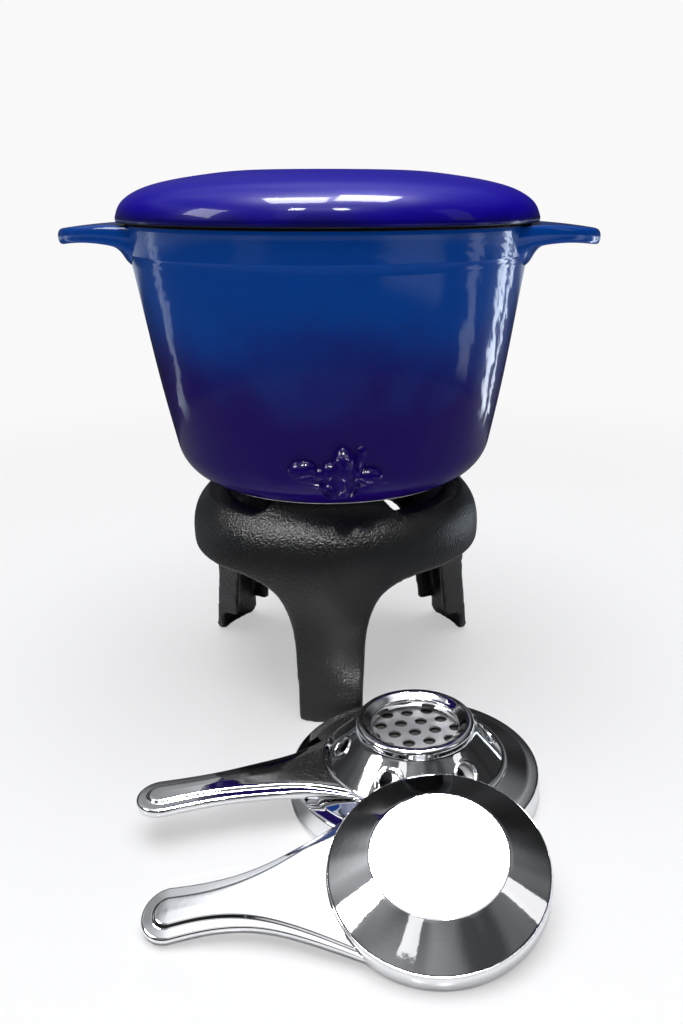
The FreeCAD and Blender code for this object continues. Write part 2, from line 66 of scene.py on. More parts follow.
CLOUDINESS = 0.38           # how far sprayed clouds shift the enamel's colours
REGULATOR_TURN = math.radians(196.5)
FIRST_HOLE = math.radians(250)
HOLE_HEIGHT = 24.5          # height, in mm, of the air holes' middles
CONE_FOOT = np.array([40.0, 17.35])   # regulator's cone as radius and height, in mm
CONE_TOP = np.array([27.0, 31.0])
CONE_ROWS = 14              # faces along the cone's slope
PALE = (0.955, 0.95, 0.95, 1.0)   # backdrop's tone to the camera
FOCAL_SHARE = 916 / 1024    # focal length over the sensor's width
CAMERA_SHIFT = -51.4 / 1024
SNUFFER_PLACE = np.array([49.5, -209.8]) * MM
SNUFFER_AZIMUTH = math.radians(-94)
SNUFFER_HANDLE_TURN = math.radians(191.5)


def low_corner(node):
    """Lowest corner of a CAD node's box."""
    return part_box(node)[0]


def high_corner(node):
    """Highest corner of a CAD node's box."""
    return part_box(node)[1]


def node_middle(node):
    """Middle of a CAD node's box in plan."""
    low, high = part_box(node)
    return (low + high) / 2


# ---- sizes and colours ----------------------------------------------------
def length(name, description, default):
    """A length property in metres."""
    return FloatProperty(name=name, description=description, default=default,
                         unit="LENGTH", subtype="DISTANCE", precision=4)


def colour(name, description, default):
    """A colour property."""
    return FloatVectorProperty(name=name, description=description, default=default,
                               size=3, min=0.0, max=1.0, subtype="COLOR")


class PotSizes(bpy.types.PropertyGroup):
    """Sizes and colours of the enamelled pot and its lid."""

    base: length("Base", "Height of the pot's underside", low_corner("pot").z)
    rim: length("Rim", "Height of the pot's rim", high_corner("pot").z)
    rim_radius: length("Rim radius", "Outer radius of the rim", high_corner("pot").y)
    base_radius: length("Base radius", "Radius of the flat underside", 61 * MM)
    corner: length("Corner", "Radius of the curve between base and wall", 24 * MM)
    wall: length("Wall", "Thickness of the cast wall", 4 * MM)
    wing_tip: length("Wing tip", "Reach of a wing handle", high_corner("pot").x)
    lid_radius: length("Lid radius", "Outer radius of the lid", high_corner("lid").x)
    lid_top: length("Lid top", "Height of the lid's highest ring", high_corner("lid").z)
    vent: length("Vent", "Distance of the steam vent from the middle", 46 * MM)
    high_blue: colour("Upper blue", "Enamel just under the rim", (0.0, 0.058, 0.34))
    low_blue: colour("Lower violet", "Enamel on the lower wall", (0.011, 0.0005, 0.13))
    lid_blue: colour("Lid blue", "Enamel on the lid's dome", (0.007, 0.0, 0.32))
    lid_edge: colour("Lid edge", "Enamel on the lid's lower edge", (0.003, 0.002, 0.08))


class StandSizes(bpy.types.PropertyGroup):
    """Sizes and colours of the cast stand."""

    voxel: length("Voxel", "Cell size used to round the casting's edges", 1.3 * MM)
    smoothing: IntProperty(name="Smoothing", description="Passes that round the edges",
                           default=5, min=0, max=20)
    pebble: length("Pebble", "Size of the coating's pebbled grain", 1.4 * MM)
    black: colour("Black", "Colour of the baked coating", (0.006, 0.006, 0.0065))


class BurnerSizes(bpy.types.PropertyGroup):
    """Sizes and colours of the spirit burner, its regulator and the snuffer."""

    radius: length("Base radius", "Outer radius of the burner's base",
                   (high_corner("burner_base").x - low_corner("burner_base").x) / 2)
    seat: length("Seat", "Height of the seat under the regulator", high_corner("burner_base").z)
    mouth: length("Mouth", "Height of the regulator's mouth", high_corner("regulator_cone").z)
    hole: length("Air hole", "Radius of an air hole", 4.4 * MM)
    holes: IntProperty(name="Air holes", description="How many air holes the regulator has",
                       default=6, min=3, max=9)
    snuffer_radius: length("Snuffer radius", "Radius of the snuffer's skirt", 43 * MM)
    snuffer_lean: FloatProperty(name="Snuffer lean", description="How far the snuffer leans back",
                                default=math.radians(17), subtype="ANGLE")
    steel: colour("Steel", "Colour of the polished steel", (0.80, 0.80, 0.81))


class StageSettings(bpy.types.PropertyGroup):
    """Camera, floor and lights."""

    camera_height: length("Camera height", "Height of the camera over the floor", 0.260)
    camera_distance: length("Camera distance", "Distance of the camera from the axis", 0.493)
    camera_side: length("Camera side", "Sideways place of the camera", 0.0320)
    camera_pitch: FloatProperty(name="Camera pitch", description="How far the camera looks down",
                                default=math.radians(19.37), subtype="ANGLE")
    floor_radius: length("Floor radius", "Radius of the floor", 8.0)
    floor_white: colour("Floor", "Colour of the floor", (0.90, 0.90, 0.91))


# ---- surfaces -------------------------------------------------------------
def curve_through(points, count):
    """Smooth curve through a few points: a natural cubic in chord length.

    The second derivatives solve the usual tridiagonal equations, and count
    points are returned, spread evenly in chord length."""
    p = np.asarray(points, float)
    t = np.concatenate([[0.0], np.cumsum(np.linalg.norm(np.diff(p, axis=0), axis=1))])
    h = np.diff(t)
    n = len(p)
    system = np.eye(n)
    right = np.zeros_like(p)
    rows = np.arange(1, n - 1)
    system[rows, rows - 1] = h[:-1]
    system[rows, rows] = 2 * (h[:-1] + h[1:])
    system[rows, rows + 1] = h[1:]
    slopes = np.diff(p, axis=0) / h[:, None]
    right[rows] = 6 * (slopes[1:] - slopes[:-1])
    second = np.linalg.solve(system, right)
    s = np.linspace(0, t[-1], count)
    i = np.clip(np.searchsorted(t, s, side="right") - 1, 0, n - 2)
    a = ((t[i + 1] - s) / h[i])[:, None]
    b = 1 - a
    bend = ((a ** 3 - a) * second[i] + (b ** 3 - b) * second[i + 1]) * (h[i] ** 2)[:, None] / 6
    return a * p[i] + b * p[i + 1] + bend


def rounded(corners, steps=5):
    """Chain of straight lines whose corners are rounded.

    Each corner is (radius, height, cut): the lines stop at the distance cut
    from the corner and a parabola joins them."""
    c = np.asarray(corners, float)
    out = [c[0, :2]]
    for before, here, after in zip(c[:-2], c[1:-1], c[2:]):
        p = here[:2]
        if here[2] <= 0:
            out.append(p)
            continue
        to_before = (before[:2] - p) / np.linalg.norm(before[:2] - p)
        to_after = (after[:2] - p) / np.linalg.norm(after[:2] - p)
        t = np.linspace(0, 1, steps)[:, None]
        start = p + to_before * here[2]
        end = p + to_after * here[2]
        out.extend((1 - t) ** 2 * start + 2 * t * (1 - t) * p + t ** 2 * end)
    out.append(c[-1, :2])
    return np.array(out)


def turned_grid(profile, azimuths):
    """Surface of revolution: (radius, height) points turned to each azimuth."""
    profile = np.asarray(profile, float)
    r = profile[:, 0][None, :]
    z = np.broadcast_to(profile[:, 1][None, :], (len(azimuths), len(profile)))
    a = np.asarray(azimuths)[:, None]
    return np.stack([r * np.cos(a), r * np.sin(a), z], axis=-1)


def full_turn(segments):
    """Evenly spread azimuths of a whole turn, the first one repeated at the end."""
    return np.linspace(0, 2 * math.pi, segments + 1)


def grid_faces(rows, columns, first):
    """Four-cornered faces of a grid whose points are numbered row by row."""
    index = first + np.arange(rows * columns).reshape(rows, columns)
    return np.stack([index[:-1, :-1], index[1:, :-1], index[1:, 1:], index[:-1, 1:]],
                    axis=-1).reshape(-1, 4)


@contextmanager
def edited(mesh):
    """Opens a mesh for editing and writes it back."""
    work = bmesh.new()
    work.from_mesh(mesh)
    yield work
    work.to_mesh(mesh)
    work.free()


def mesh_piece(name, grids, body, material, nodes=(), closed=True):
    """One piece from grids of points: joined, welded and facing outwards."""
    points = []
    faces = []
    first = 0
    for grid in grids:
        rows, columns = grid.shape[:2]
        points.append(grid.reshape(-1, 3))
        faces.append(grid_faces(rows, columns, first))
        first += rows * columns
    mesh = bpy.data.meshes.new(name)
    mesh.from_pydata(np.concatenate(points).tolist(), [], np.concatenate(faces).tolist())
    with edited(mesh) as work:
        bmesh.ops.remove_doubles(work, verts=work.verts, dist=2e-6)
        bmesh.ops.dissolve_degenerate(work, dist=1e-7, edges=work.edges)
        if closed:
            bmesh.ops.recalc_face_normals(work, faces=work.faces)
    mesh.shade_smooth()
    piece = bpy.data.objects.new(name, mesh)
    bpy.context.scene.collection.objects.link(piece)
    mesh.materials.append(material)
    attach(piece, body)
    if nodes:
        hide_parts(*nodes)
    return piece


def face_values(piece, label):
    """Middle ("center") or normal ("normal") of every face."""
    values = np.zeros(len(piece.data.polygons) * 3)
    piece.data.polygons.foreach_get(label, values)
    return values.reshape(-1, 3)


def face_along(piece, ways):
    """Makes an open sheet's faces agree and look along the given ways."""
    with edited(piece.data) as work:
        bmesh.ops.recalc_face_normals(work, faces=work.faces)
    if (face_values(piece, "normal") * ways(face_values(piece, "center"))).sum() < 0:
        with edited(piece.data) as work:
            bmesh.ops.reverse_faces(work, faces=work.faces)


def face_up(piece):
    """Makes an open sheet face upwards."""
    face_along(piece, lambda middles: np.array([0.0, 0.0, 1.0]))


def face_out(piece, axis_place):
    """Makes an open turned sheet face away from its upright axis."""
    face_along(piece, lambda middles: (middles - axis_place) * (1, 1, 0))


def moved(grid, matrix, offset):
    """A grid turned by a 3x3 matrix and then shifted."""
    return grid @ np.asarray(matrix).T + np.asarray(offset)


def turn_about(axis, angle):
    """3x3 rotation about an axis."""
    return np.array(Matrix.Rotation(angle, 3, Vector(axis)))


# ---- material helpers -----------------------------------------------------
def new_material(name):
    """An empty node material with its output and Principled shader."""
    material = bpy.data.materials.new(name)
    material.use_nodes = True
    tree = material.node_tree
    tree.nodes.clear()
    output = tree.nodes.new("ShaderNodeOutputMaterial")
    shader = tree.nodes.new("ShaderNodeBsdfPrincipled")
    tree.links.new(shader.outputs["BSDF"], output.inputs["Surface"])
    return material, tree, shader


def new_node(tree, kind, inputs=None, **settings):
    """A node with its settings and input values, or links where a socket is given."""
    node = tree.nodes.new(kind)
    for key, value in settings.items():
        setattr(node, key, value)
    for key, value in (inputs or {}).items():
        if isinstance(value, bpy.types.NodeSocket):
            tree.links.new(value, node.inputs[key])
        else:
            node.inputs[key].default_value = value
    return node


def object_place(tree):
    """Object coordinates, in metres."""
    return new_node(tree, "ShaderNodeTexCoord").outputs["Object"]


def new_group(name, inputs, outputs):
    """A shader node group with named inputs (kind, default) and outputs."""
    group = bpy.data.node_groups.new(name, "ShaderNodeTree")
    for label, (kind, default) in inputs.items():
        socket = group.interface.new_socket(name=label, in_out="INPUT", socket_type=kind)
        if default is not None:
            socket.default_value = default
    for label, kind in outputs.items():
        group.interface.new_socket(name=label, in_out="OUTPUT", socket_type=kind)
    return group, group.nodes.new("NodeGroupInput"), group.nodes.new("NodeGroupOutput")


def grain_group():
    """Grain: two sizes of noise give a height, and the coarse one a mask."""
    name = "Surface grain"
    if name in bpy.data.node_groups:
        return bpy.data.node_groups[name]
    group, given, result = new_group(
        name,
        {"Place": ("NodeSocketVector", None), "Coarse scale": ("NodeSocketFloat", 60.0),
         "Fine scale": ("NodeSocketFloat", 700.0), "Fine share": ("NodeSocketFloat", 0.5)},
        {"Height": "NodeSocketFloat", "Mask": "NodeSocketFloat"})
    coarse = new_node(group, "ShaderNodeTexNoise",
                      {"Vector": given.outputs["Place"], "Scale": given.outputs["Coarse scale"],
                       "Detail": 2.0, "Roughness": 0.5})
    fine = new_node(group, "ShaderNodeTexNoise",
                    {"Vector": given.outputs["Place"], "Scale": given.outputs["Fine scale"],
                     "Detail": 1.5, "Roughness": 0.45})
    mix = new_node(group, "ShaderNodeMix", {"Factor": given.outputs["Fine share"],
                                            "A": coarse.outputs["Fac"], "B": fine.outputs["Fac"]})
    group.links.new(mix.outputs["Result"], result.inputs["Height"])
    group.links.new(coarse.outputs["Fac"], result.inputs["Mask"])
    return group


def add_grain(tree, place, coarse, fine, share):
    """Places the grain group with its own values."""
    return new_node(tree, "ShaderNodeGroup",
                    {"Place": place, "Coarse scale": coarse, "Fine scale": fine,
                     "Fine share": share}, node_tree=grain_group())


def add_bump(tree, height, strength, distance):
    """A bump node's normal."""
    return new_node(tree, "ShaderNodeBump", {"Height": height, "Strength": strength,
                                             "Distance": distance}).outputs["Normal"]


def set_values(shader, values):
    """Sets a shader's own sockets."""
    for label, value in values.items():
        shader.inputs[label].default_value = value


def math_node(tree, operation, first, second=0.0, third=0.0):
    """Result of one arithmetic node."""
    return new_node(tree, "ShaderNodeMath", {0: first, 1: second, 2: third},
                    operation=operation).outputs[0]


def smooth_step(tree, value, start, end, low=0.0, high=1.0):
    """Smooth change from low to high while the value goes from start to end."""
    return new_node(tree, "ShaderNodeMapRange",
                    {"Value": value, "From Min": start, "From Max": end, "To Min": low,
                     "To Max": high}, interpolation_type="SMOOTHSTEP").outputs["Result"]


# ---- materials ------------------------------------------------------------
def enamel(name, stops, low, high, gloss):
    """Glassy enamel whose colour changes with height, in soft sprayed clouds."""
    material, tree, shader = new_material(name)
    place = object_place(tree)
    grain = add_grain(tree, place, 26.0, 150.0, 0.25)
    height = new_node(tree, "ShaderNodeSeparateXYZ", {"Vector": place}).outputs["Z"]
    level = new_node(tree, "ShaderNodeMapRange",
                     {"Value": height, "From Min": low, "From Max": high}).outputs["Result"]
    cloud = math_node(tree, "SUBTRACT", grain.outputs["Mask"], 0.5)
    shifted = math_node(tree, "MULTIPLY_ADD", cloud, CLOUDINESS, level)
    ramp = new_node(tree, "ShaderNodeValToRGB", {"Fac": shifted})
    ramp.color_ramp.interpolation = "EASE"
    while len(ramp.color_ramp.elements) < len(stops):
        ramp.color_ramp.elements.new(0.5)
    for element, (position, tint) in zip(ramp.color_ramp.elements, stops):
        element.position = position
        element.color = (*tint, 1.0)
    set_values(shader, {"Roughness": 0.34, "Specular IOR Level": 0.05, "Coat Weight": gloss,
                        "Coat Roughness": 0.04, "Coat IOR": 1.34})
    tree.links.new(ramp.outputs["Color"], shader.inputs["Base Color"])
    tree.links.new(add_bump(tree, grain.outputs["Height"], 0.10, 0.002), shader.inputs["Normal"])
    return material


def grained(name, tint, scales, roughness, bump, metallic=0.0, specular=0.5):
    """Plain material with a grain: scales are coarse, fine and the fine one's share.

    roughness is one value or the two ends between which the grain moves it,
    and bump is strength and depth."""
    material = bpy.data.materials.get(name)
    if material:
        return material
    material, tree, shader = new_material(name)
    grain = add_grain(tree, object_place(tree), *scales)
    set_values(shader, {"Base Color": (*tint, 1.0), "Metallic": metallic,
                        "Specular IOR Level": specular})
    if isinstance(roughness, float):
        shader.inputs["Roughness"].default_value = roughness
    else:
        rough = new_node(tree, "ShaderNodeMapRange",
                         {"Value": grain.outputs["Mask"], "To Min": roughness[0],
                          "To Max": roughness[1]})
        tree.links.new(rough.outputs["Result"], shader.inputs["Roughness"])
    tree.links.new(add_bump(tree, grain.outputs["Height"], *bump), shader.inputs["Normal"])
    return material


def matt_black():
    """Unglazed black rims and the inside of the pot and lid."""
    return grained("Matt black rim", (0.006, 0.006, 0.007), (90.0, 900.0, 0.6), 0.55,
                   (0.25, 0.001))


def foot_ring_and_highlight():
    """Pale ring on which the pot stands: partly a ground foot, partly a painted highlight along
    the pot's bottom edge.
    """
    return grained("Ground foot with painted highlight", (0.62, 0.61, 0.60), (90.0, 900.0, 0.6), 0.4,
                   (0.25, 0.001))


def cast_coating(sizes):
    """Black baked coating with a pebbled skin and a soft sheen."""
    scales = (0.4 / sizes.pebble, 1.3 / sizes.pebble, 0.86)
    return grained("Black pebbled coating", sizes.black, scales, (0.29, 0.42), (0.42, 0.0014),
                   specular=0.60)


def polished_steel(sizes):
    """Mirror-bright steel with faint ripples from pressing."""
    return grained("Polished steel", sizes.steel, (35.0, 500.0, 0.08), (0.035, 0.056),
                   (0.12, 0.001), metallic=1.0)


def satin_steel(sizes):
    """Dull steel of the burner's inner parts."""
    return grained("Satin steel", sizes.steel, (35.0, 500.0, 0.08), (0.30, 0.48),
                   (0.25, 0.001), metallic=1.0)


def wool_with_painted_shade():
    """Matt fibre pad, near-black: painted shade inside the burner."""
    return grained("Burner wool, painted shade", (0.05, 0.05, 0.046), (400.0, 2200.0, 0.6), 0.95,
                   (0.8, 0.001))


def paint_faces(piece, material, chosen):
    """Gives the faces picked by a boolean array another material."""
    piece.data.materials.append(material)
    index = np.zeros(len(piece.data.polygons), np.int32)
    piece.data.polygons.foreach_get("material_index", index)
    index[chosen] = len(piece.data.materials) - 1
    piece.data.polygons.foreach_set("material_index", index)


# ---- pot ------------------------------------------------------------------
def pot_corner(sizes, radius, angles):
    """Points of the bottom curve at the given angles below level."""
    centre = np.array([sizes.base_radius, sizes.base + sizes.corner])
    return centre + radius * np.stack([np.cos(angles), np.sin(angles)], axis=-1)


def pot_outside(sizes):
    """Outside profile: base, quarter curve, tapering wall and rim band."""
    arc = pot_corner(sizes, sizes.corner, np.linspace(-QUARTER, WALL_LEAN, 20))
    band = sizes.rim - RIM_BAND
    wall = curve_through([arc[-1], (90.7 * MM, 165 * MM), (95.9 * MM, 197.5 * MM),
                          (BAND_RADIUS, band)], 26)
    rim = rounded([(BAND_RADIUS, band, 0), (101.5 * MM, band + 1.1 * MM, 0.5 * MM),
                   (sizes.rim_radius, sizes.rim - 4 * MM, 1.0 * MM),
                   (sizes.rim_radius, sizes.rim, 1.1 * MM),
                   (sizes.rim_radius - RIM_LIP, sizes.rim, 0)])
    floor = np.array([[0, sizes.base], [sizes.base_radius * 0.6, sizes.base]])
    return np.concatenate([floor, arc, wall[1:], rim[1:]])


def pot_inside(sizes):
    """Inside profile: from the rim down the wall, round the corner to the middle."""
    rim = sizes.rim_radius - sizes.wall
    arc = pot_corner(sizes, sizes.corner - 4 * MM, np.linspace(math.radians(-9), -QUARTER, 14))
    arc[:, 1] += 1 * MM
    lip = rounded([(sizes.rim_radius - RIM_LIP, sizes.rim, 0), (rim, sizes.rim, 1 * MM),
                   (INNER_BAND_RADIUS, sizes.rim - RIM_BAND, 0)])
    wall = curve_through([(INNER_BAND_RADIUS, sizes.rim - RIM_BAND), (91.9 * MM, 197.5 * MM),
                          (86.7 * MM, 165 * MM), arc[0]], 16)
    return np.concatenate([lip[1:], wall[1:], arc[1:], [[0, arc[-1, 1]]]])


def section_height(r, points, count):
    """Height at each radius, in millimetres, on a smooth curve through points."""
    curve = curve_through(points, count)
    return np.interp(r / MM, curve[:, 0], curve[:, 1])


def wing_grid(sizes, side):
    """A wing handle: radial sections carried round the pot's axis.

    A section has a nearly level top and an underside that sweeps down into
    the wall.  It ends in a superellipse at the outline's radius."""
    half = np.array([(84, 49), (105, 41.5), (123, 31), (135, 16.5)], float)
    tip = [[sizes.wing_tip / MM, 0.0]]
    plan = curve_through(np.concatenate([half, tip, half[::-1] * (1, -1)]), 161) * MM
    azimuth = np.arctan2(plan[:, 1], plan[:, 0])[::-1]
    reach = np.hypot(plan[:, 0], plan[:, 1])[::-1]
    spread = 0.985 * azimuth[-1]
    turn = spread * np.sin(np.linspace(-QUARTER, QUARTER, 81))
    root = 99.2 * MM
    out = np.maximum(np.interp(turn, azimuth, reach), root + 0.05 * MM)[:, None]
    share = (1 - np.cos(np.linspace(0, math.pi, 40))) / 2
    r = root + (out - root) * share[None, :]
    top = section_height(r, [(96, -1.2), (108, -0.7), (122, -1.4), (142, -4.2)], 80)
    low = section_height(r, [(96, -23), (101.5, -19.6), (106, -12.8), (114, -9.6), (126, -9.4),
                             (142, -12.6)], 120)
    flat = -9.0
    fade = 1 - (turn / spread)[:, None] ** 4
    low = np.where(low < flat, flat + (low - flat) * fade, low)
    edge = np.minimum(3.2 * MM, out - root)
    past = np.clip((r - (out - edge)) / edge, 0, 1)
    close = (1 - past ** 2.4) ** (1 / 2.4)
    middle = (top + low) / 2
    thick = (top - low) / 2 * close
    z_top = sizes.rim + (middle + thick) * MM
    z_low = sizes.rim + (middle - thick) * MM
    r_loop = np.concatenate([r, r[:, ::-1], r[:, :1]], axis=1)
    z_loop = np.concatenate([z_top, z_low[:, ::-1], z_top[:, :1]], axis=1)
    a = turn[:, None] + side
    return np.stack([r_loop * np.cos(a), r_loop * np.sin(a), z_loop], axis=-1)


def half_egg(a, b, across, up, half_across, half_up, height, lean):
    """Half ellipsoid on the (a, b) sheet, turned by lean."""
    u = a - across
    v = b - up
    c, s = math.cos(lean), math.sin(lean)
    q = ((u * c + v * s) / half_across) ** 2 + ((v * c - u * s) / half_up) ** 2
    return height * np.clip(1 - q, 0, None) ** 0.62


def ring_mark(a, b, middle, radius, width):
    """Raised ring with a pit inside, as a nostril."""
    d = np.hypot(a - middle[0], (b - middle[1]) * 1.15)
    ring = np.exp(-((d - radius) / width) ** 2)
    pit = np.exp(-(d / (radius * 0.62)) ** 2)
    return 1.3 * ring - 1.8 * pit


# The cow's head as half ellipsoids: middle across and up the wall, half width,
# half height, relief in mm and lean in radians.
COW_PARTS = (
    (1.6, 38.6, 5.6, 10.8, 8.4, 0.0), (-0.4, 28.4, 9.4, 6.8, 7.2, 0.0),
    (-17.4, 36.8, 7.4, 5.4, 5.2, 0.18), (-9.6, 34.6, 5.6, 3.6, 3.0, 0.1),
    (-4.6, 36.0, 4.2, 5.6, 5.0, 0.0), (7.0, 34.6, 3.8, 5.2, 4.0, 0.0),
    (14.0, 33.2, 6.6, 4.8, 5.0, -0.25), (9.4, 42.6, 3.4, 6.6, 2.8, -0.12),
    (-1.2, 44.6, 1.8, 2.4, 6.6, 0.0), (3.4, 45.0, 1.6, 2.2, 6.4, 0.0))


def cow_relief(a, b):
    """Height of the cow's head over the wall, a and b in millimetres.

    The parts are blended by the cube root of the sum of their cubes, and
    the nostrils are raised rings with a pit inside."""
    height = sum(half_egg(a, b, *part) ** 3 for part in COW_PARTS) ** (1 / 3)
    height = height + ring_mark(a, b, (-5.4, 28.6), 3.0, 0.8)
    return height + ring_mark(a, b, (6.2, 28.0), 2.3, 0.7)


def relief_grid(sizes):
    """The cow's head as a sheet over the pot's corner and wall.

    Its points stand off the pot's profile by the relief's height, and lie
    inside the wall where there is no relief."""
    a = np.linspace(-27, 23, 221)[:, None]
    b = np.linspace(17, 52, 151)[None, :]
    height = cow_relief(a, b)
    lift = np.where(height > 0.02, height, -0.6) * MM
    turn = RELIEF_TURN + a / 84
    bottom = sizes.corner
    full = bottom * (WALL_LEAN + QUARTER)
    along = b * MM
    angle = np.minimum(along / bottom, full / bottom) - QUARTER
    past = np.maximum(along - full, 0)
    r = sizes.base_radius + (bottom + lift) * np.cos(angle) - past * np.sin(angle)
    z = sizes.base + bottom + (bottom + lift) * np.sin(angle) + past * np.cos(angle)
    turn = np.broadcast_to(turn, r.shape)
    return np.stack([r * np.cos(turn), r * np.sin(turn), z], axis=-1)


def drop_sunk_faces(piece, sizes):
    """Removes the relief's faces that lie wholly inside the pot's wall."""
    middle = np.array([sizes.base_radius, sizes.base + sizes.corner])
    c, s = math.cos(WALL_LEAN), math.sin(WALL_LEAN)
    with edited(piece.data) as work:
        points = np.array([vertex.co for vertex in work.verts])
        x = np.hypot(points[:, 0], points[:, 1]) - middle[0]
        z = points[:, 2] - middle[1]
        off = np.where(z * c > x * s, x * c + z * s, np.hypot(x, z))
        sunk = off < sizes.corner - 0.5 * MM
        inside = [face for face in work.faces if all(sunk[v.index] for v in face.verts)]
        bmesh.ops.delete(work, geom=inside, context="FACES")


class FONDUE_OT_pot(bpy.types.Operator):
    """Build the enamelled pot with its wing handles, foot ring and relief"""

    bl_idname = "fondue.pot"
    bl_label = "Pot"

    def execute(self, context):
        sizes = context.scene.fondue_pot
        blue = enamel("Blue enamel", [
            (0.0, sizes.low_blue), (0.34, sizes.low_blue), (0.78, sizes.high_blue),
            (1.0, sizes.high_blue)], sizes.base, sizes.rim, 0.85)
        black = matt_black()
        outside = pot_outside(sizes)
        profile = np.concatenate([outside, pot_inside(sizes)])
        grids = [turned_grid(profile, full_turn(288)), wing_grid(sizes, 0.0),
                 wing_grid(sizes, math.pi)]
        pot = mesh_piece("pot_body", grids, "pot", blue, ["pot"])
        middles = face_values(pot, "center")
        r = np.hypot(middles[:, 0], middles[:, 1])
        skin = np.interp(middles[:, 2], outside[2:, 1], outside[2:, 0])
        inner = (r < skin - 1.5 * MM) & (middles[:, 2] > sizes.base + 3 * MM)
        seam = (middles[:, 2] > sizes.rim - 1.7 * MM) & (r < sizes.rim_radius + 0.1 * MM)
        paint_faces(pot, black, inner | (seam & (r > 97 * MM)))
        # Thin pale ring at the base: a ground foot whose pale tone is also a painted highlight on
        # the bottom edge.
        arc = np.radians(np.linspace(-82, -71, 8))
        ring = np.concatenate([pot_corner(sizes, sizes.corner + 0.22 * MM, arc),
                               pot_corner(sizes, sizes.corner - 0.6 * MM, arc[::-1])])
        ring = np.concatenate([ring, ring[:1]])
        mesh_piece("pot_foot_ring", [turned_grid(ring, full_turn(192))], "pot",
                   foot_ring_and_highlight())
        relief = mesh_piece("pot_cow_relief", [relief_grid(sizes)], "pot", blue,
                            closed=False)
        drop_sunk_faces(relief, sizes)
        face_out(relief, np.zeros(3))
        return {"FINISHED"}


# ---- lid ------------------------------------------------------------------
def lid_profile(sizes):
    """Dome with a shallow dish on top, rolled edge, locating skirt and hollow."""
    low = sizes.rim / MM
    top = sizes.lid_top / MM
    out = sizes.lid_radius / MM
    dome = curve_through([(0, top - 1.0), (16, top - 0.6), (34, top - 0.05), (44.4, top - 0.3),
                          (65, low + 21.9), (85.2, low + 18.2), (98.4, low + 13.1),
                          (104.2, low + 7.9), (out, low + 2.4)], DOME_POINTS)
    edge = rounded([(out, low + 2.4, 0), (out - 0.1, low + 0.2, 1.0), (out - 2, low + 0.2, 0.5),
                    (97.2, low + 0.2, 0.5), (96.2, low - 8, 0.8), (93.4, low - 8, 0.8),
                    (93.4, low + 9, 0)])
    inner = curve_through([(93.4, low + 9), (80, low + 15), (60, low + 18.8), (35, top - 3.5),
                           (0, top - 4.5)], 30)
    return np.concatenate([dome, edge[1:], inner[1:]]) * MM


class FONDUE_OT_lid(bpy.types.Operator):
    """Build the enamelled lid with its steam vent"""

    bl_idname = "fondue.lid"
    bl_label = "Lid"

    def execute(self, context):
        sizes = context.scene.fondue_pot
        cobalt = enamel("Cobalt enamel", [
            (0.0, sizes.lid_edge), (0.30, sizes.lid_blue), (1.0, sizes.lid_blue)],
            sizes.rim, sizes.lid_top, 0.34)
        black = matt_black()
        profile = lid_profile(sizes)
        dome = profile[:DOME_POINTS]
        grid = turned_grid(profile, full_turn(288))
        away = np.hypot(grid[..., 0] + sizes.vent, grid[..., 1])
        outer = grid[..., 2] > sizes.lid_top - 4 * MM
        pit = np.clip(1 - away / (2.2 * MM), 0, 1) ** 0.5
        grid[..., 2] -= np.where(outer, 2.8 * MM * pit, 0)
        lid = mesh_piece("lid_body", [grid], "lid", cobalt, ["lid"])
        middles = face_values(lid, "center")
        r = np.hypot(middles[:, 0], middles[:, 1])
        under = (middles[:, 2] < sizes.rim + 0.9 * MM) | (
            (r < 93.6 * MM) & (middles[:, 2] < np.interp(r, *dome.T) - 2 * MM))
        vent = np.hypot(middles[:, 0] + sizes.vent, middles[:, 1]) < 1.9 * MM
        paint_faces(lid, black, under | vent)
        return {"FINISHED"}


# ---- stand ----------------------------------------------------------------
class FONDUE_OT_stand(bpy.types.Operator):
    """Round the cast stand's edges and give it its pebbled coating"""

    bl_idname = "fondue.stand"
    bl_label = "Stand"

    def execute(self, context):
        sizes = context.scene.fondue_stand
        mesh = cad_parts["stand"].data.copy()
        with edited(mesh) as work:
            bmesh.ops.remove_doubles(work, verts=work.verts, dist=1e-6)
        mesh.name = "stand_casting"
        mesh.materials.clear()
        mesh.materials.append(cast_coating(sizes))
        stand = bpy.data.objects.new("stand_casting", mesh)
        context.scene.collection.objects.link(stand)
        cells = stand.modifiers.new("Even cells", "REMESH")
        cells.mode = "VOXEL"
        cells.voxel_size = sizes.voxel
        cells.use_smooth_shade = True
        smooth = stand.modifiers.new("Rounded edges", "SMOOTH")
        smooth.factor = 0.5
        smooth.iterations = sizes.smoothing
        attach(stand, "stand")
        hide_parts("stand")
        return {"FINISHED"}


# ---- burner ---------------------------------------------------------------
def burner_middle():
    """Plan place of the burner's axis."""
    middle = node_middle("burner_base")
    return np.array([middle.x, middle.y, 0.0])


def base_profile(sizes):
    """Pressed base: rolled foot, skirt, flange, cone and seat, as one sheet."""
    r = sizes.radius / MM
    seat = sizes.seat / MM
    outside = rounded([(r - 1.1, 0.05, 0), (r, 0.1, 0.4), (r - 0.1, 1.6, 0.4), (r - 0.5, 2.2, 0.4),
                       (r - 0.7, 12.3, 1.3), (51.2, 12.8, 1.0), (41.6, 16.1, 0.8),
                       (38, seat, 0.5), (24.6, seat, 0)])
    inside = outside[::-1] - (0.0, 1.0)
    inside[:, 0] -= np.where(inside[:, 1] < 11, 1.0, 0)
    inside[:, 1] = np.maximum(inside[:, 1], 0.05)
    return np.concatenate([outside, inside, outside[:1]]) * MM


